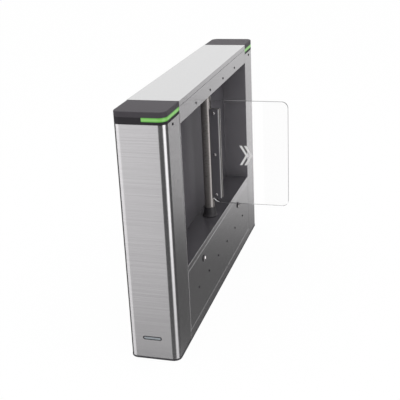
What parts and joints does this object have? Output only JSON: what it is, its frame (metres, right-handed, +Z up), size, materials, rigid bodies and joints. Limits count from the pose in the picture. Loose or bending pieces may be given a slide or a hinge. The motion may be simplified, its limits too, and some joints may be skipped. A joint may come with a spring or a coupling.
{
  "type": "swing barrier turnstile",
  "caption": "Stainless pedestal turnstile with one clear swinging wing on a vertical shaft in a dark side recess, driven by a gearmotor behind a lift-off access door.",
  "frame": {"origin": "on the floor under the middle of the cabinet, which is the middle of the base plate's underside", "axes": "+X across the passage, the way the wing points at rest; +Y along the cabinet, towards its rear end; +Z up"},
  "size_m": [0.5, 1.4, 0.98],
  "materials": {
    "brushed_stainless": "fine brushed stainless steel",
    "polished_stainless": "polished stainless steel",
    "zinc_plated_steel": "zinc-plated sheet steel",
    "black_painted_steel": "black powder coat",
    "dark_acrylic": "dark tinted acrylic, glossy",
    "clear_acrylic": "clear cast acrylic",
    "grey_moulding": "fine-textured dark grey ABS",
    "collar_rubber": "moulded rubber",
    "green_diffuser": "translucent green polycarbonate",
    "circuit_board": "solder mask",
    "gear_steel": "cut steel",
    "clamp_grey": "dark anodised look",
    "aluminium_trim": "extruded aluminium",
    "sensor_window": "infrared-pass plastic",
    "terminal_grey": "moulded polyamide"
  },
  "bodies": {
    "cabinet": {"base_plate": "black_painted_steel", "front_column": "brushed_stainless", "rear_column": "brushed_stainless", "front_bulkhead": "brushed_stainless", "rear_bulkhead": "brushed_stainless", "left_side_panel": "brushed_stainless", "top_band": "brushed_stainless", "sill_rail": "brushed_stainless", "plinth_rail": "brushed_stainless", "top_cover": "brushed_stainless", "left_top_rail": "zinc_plated_steel", "right_top_rail": "zinc_plated_steel", "front_cap_band": "grey_moulding", "rear_cap_band": "grey_moulding", "front_cap_lid": "grey_moulding", "rear_cap_lid": "grey_moulding", "front_light": "green_diffuser", "rear_light": "green_diffuser", "front_light_board": "circuit_board", "rear_light_board": "circuit_board", "recess_back": "dark_acrylic", "recess_shelf": "dark_acrylic", "recess_ceiling": "dark_acrylic", "drive_shelf": "zinc_plated_steel", "shaft_collar": "collar_rubber", "lower_bearing_housing": "zinc_plated_steel", "upper_bearing_housing": "zinc_plated_steel", "lower_bearing": "gear_steel", "upper_bearing": "gear_steel", "upper_bridge": "zinc_plated_steel", "drive_plate": "zinc_plated_steel", "gearmotor": "black_painted_steel", "position_sensor": "sensor_window", "front_band_eyes": "sensor_window", "rear_band_eyes": "sensor_window", "front_column_eye": "sensor_window", "rear_column_eye": "sensor_window", "eye_rail": "zinc_plated_steel", "door_eyes": "sensor_window", "equipment_plate": "zinc_plated_steel", "power_supply": "aluminium_trim", "control_board": "circuit_board", "terminal_rail": "zinc_plated_steel", "terminal_blocks": "terminal_grey"},
    "wing": {"wing_shaft": "polished_stainless", "wing_panel": "clear_acrylic", "front_clamp": "clamp_grey", "clamp_edge_strip": "aluminium_trim", "clamp_screw_1": "polished_stainless", "clamp_screw_2": "polished_stainless", "clamp_screw_3": "polished_stainless", "driven_gear": "gear_steel", "position_disc": "zinc_plated_steel", "shaft_nut": "zinc_plated_steel"},
    "pinion": {"motor_pinion": "gear_steel"},
    "door": {"access_door": "brushed_stainless", "front_lock_housing": "polished_stainless", "rear_lock_housing": "polished_stainless"},
    "front_lock": {"front_lock_plug": "polished_stainless"},
    "rear_lock": {"rear_lock_plug": "polished_stainless"}
  },
  "joints": [
    {"name": "wing_swing", "type": "hinge", "parent": "cabinet", "child": "wing", "pos_m": [0.047, 0, 0.6], "axis": [0, 0, 1], "range_deg": [-90, 90]},
    {"name": "pinion_turn", "type": "hinge", "parent": "cabinet", "child": "pinion", "pos_m": [0.02648, 0.05638, 0.268], "axis": [0, 0, 1], "range_deg": [-180, 180]},
    {"name": "door_lift_off", "type": "slide", "parent": "cabinet", "child": "door", "axis": [1, 0, 0], "range_m": [0, 0.12]},
    {"name": "front_lock_turn", "type": "hinge", "parent": "door", "child": "front_lock", "pos_m": [0.1, -0.30874, 0.257], "axis": [1, 0, 0], "range_deg": [0, 90]},
    {"name": "rear_lock_turn", "type": "hinge", "parent": "door", "child": "rear_lock", "pos_m": [0.1, 0.30874, 0.257], "axis": [1, 0, 0], "range_deg": [0, 90]}
  ],
  "couplings": [
    {"joint": "pinion_turn", "follows": "wing_swing", "ratio": -2}
  ]
}
